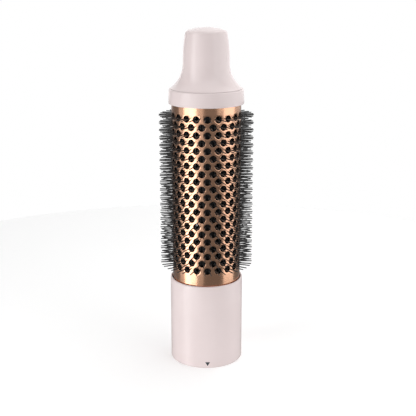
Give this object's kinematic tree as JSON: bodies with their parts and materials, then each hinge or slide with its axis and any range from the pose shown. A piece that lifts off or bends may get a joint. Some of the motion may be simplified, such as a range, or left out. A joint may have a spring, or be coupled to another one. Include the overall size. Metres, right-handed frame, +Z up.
{
  "type": "thermal round brush head",
  "caption": "Detachable round thermal brush head of a hot air styler: perforated copper barrel with nylon pins, plastic docking sleeve, end collar and swivelling bell-shaped cool tip.",
  "frame": {"origin": "centre of the base sleeve's foot, on the surface that the head stands on", "axes": "+Z up the head's long axis from the docking end to the cool tip; the front with the docking mark faces -Y"},
  "size_m": [0.0518, 0.0518, 0.1881],
  "materials": {
    "pink_plastic": "satin moulded",
    "mark_grey": "matte inlay",
    "black_plastic": "moulded, heat-proof",
    "nylon": "smooth nylon",
    "copper": "copper-coloured satin coating",
    "silicone": "matte silicone",
    "steel": "zinc-plated",
    "white_plastic": "low-friction acetal"
  },
  "bodies": {
    "brush_head": {"base_sleeve": "pink_plastic", "alignment_mark": "mark_grey", "docking_socket": "black_plastic", "dock_seal": "silicone", "socket_screws": "steel", "lower_bulkhead": "black_plastic", "core_tube": "black_plastic", "flow_cone": "black_plastic", "barrel": "copper", "lower_heat_gasket": "silicone", "upper_heat_gasket": "silicone", "upper_bulkhead": "black_plastic", "tie_rod": "steel", "tie_rod_nut": "steel", "tie_rod_washer": "steel", "end_collar": "pink_plastic", "collar_screws": "steel", "tip_spindle": "steel", "thrust_washer": "white_plastic", "bristle_strip_01": "nylon", "bristle_strip_02": "nylon", "bristle_strip_03": "nylon", "bristle_strip_04": "nylon", "bristle_strip_05": "nylon", "bristle_strip_06": "nylon", "bristle_strip_07": "nylon", "bristle_strip_08": "nylon", "bristle_strip_09": "nylon", "bristle_strip_10": "nylon", "bristle_strip_11": "nylon", "bristle_strip_12": "nylon", "bristle_strip_13": "nylon", "bristle_strip_14": "nylon", "bristle_strip_15": "nylon", "bristle_strip_16": "nylon", "bristle_strip_17": "nylon", "bristle_strip_18": "nylon", "bristle_strip_19": "nylon", "bristle_strip_20": "nylon"},
    "tip": {"cool_tip": "pink_plastic", "lower_bush": "white_plastic", "upper_bush": "white_plastic", "snap_ring": "steel"}
  },
  "joints": [
    {"name": "tip_swivel", "type": "hinge", "parent": "brush_head", "child": "tip", "pos_m": [0, 0, 0.156], "axis": [0, 0, 1], "continuous": true}
  ]
}
